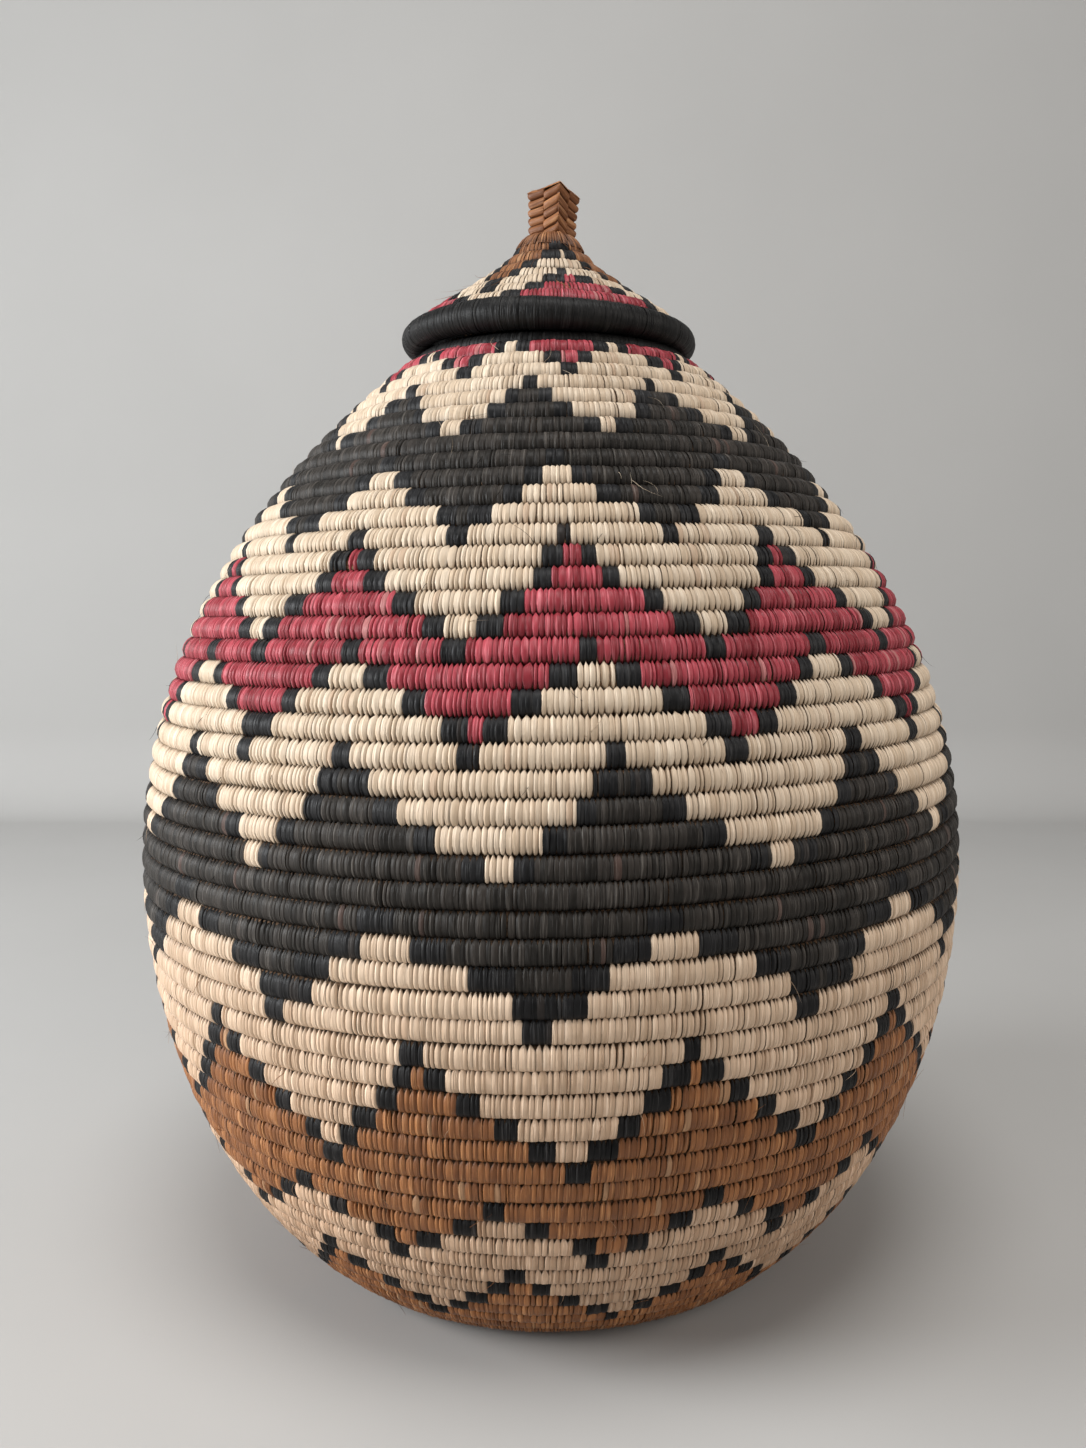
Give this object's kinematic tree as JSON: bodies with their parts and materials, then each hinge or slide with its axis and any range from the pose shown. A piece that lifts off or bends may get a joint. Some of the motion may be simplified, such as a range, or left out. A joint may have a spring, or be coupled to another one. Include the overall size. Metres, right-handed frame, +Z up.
{
  "type": "lidded coiled basket",
  "caption": "Egg-shaped coiled palm-leaf basket with stepped zigzag bands, a narrow black-bound mouth and a lift-off conical lid with a bound ring and plaited knob.",
  "frame": {"origin": "on the floor, under the middle of the basket's base", "axes": "+Z up along the basket's axis through the mouth, the lid and the knob; -Y towards the picture's camera"},
  "size_m": [0.3668, 0.3668, 0.4746],
  "materials": {
    "natural_leaf": "undyed palm leaf wrapped over grass, dry, slightly glossy",
    "rust_leaf": "rust-brown dyed palm leaf, dry",
    "red_leaf": "raspberry-red dyed palm leaf, dry",
    "dark_leaf": "brown-black dyed palm leaf, dry",
    "black_leaf": "blue-black dyed palm leaf, slightly glossy",
    "grass_stalk": "dry grass stalks"
  },
  "bodies": {
    "basket": {"start_knot": "rust_leaf", "base_coil": "rust_leaf", "foot_coil": "rust_leaf", "lower_wall_coil": "natural_leaf", "haunch_coil": "rust_leaf", "lower_belly_coil": "natural_leaf", "belly_coil": "dark_leaf", "upper_belly_coil": "red_leaf", "upper_wall_coil": "dark_leaf", "shoulder_coil": "natural_leaf", "mouth_rim": "black_leaf"},
    "lid": {"lid_ring": "black_leaf", "cone_coil": "natural_leaf", "collar_coil": "black_leaf", "knob_stem": "grass_stalk", "knob_core": "rust_leaf", "plait_strand_1_left": "rust_leaf", "plait_strand_1_right": "rust_leaf", "plait_strand_2_left": "rust_leaf", "plait_strand_2_right": "rust_leaf", "plait_strand_3_left": "rust_leaf", "plait_strand_3_right": "rust_leaf", "plait_strand_4_left": "rust_leaf", "plait_strand_4_right": "rust_leaf"}
  },
  "joints": [
    {"name": "lid_lift", "type": "slide", "parent": "basket", "child": "lid", "axis": [0, 0, 1], "range_m": [0, 0.08]}
  ]
}
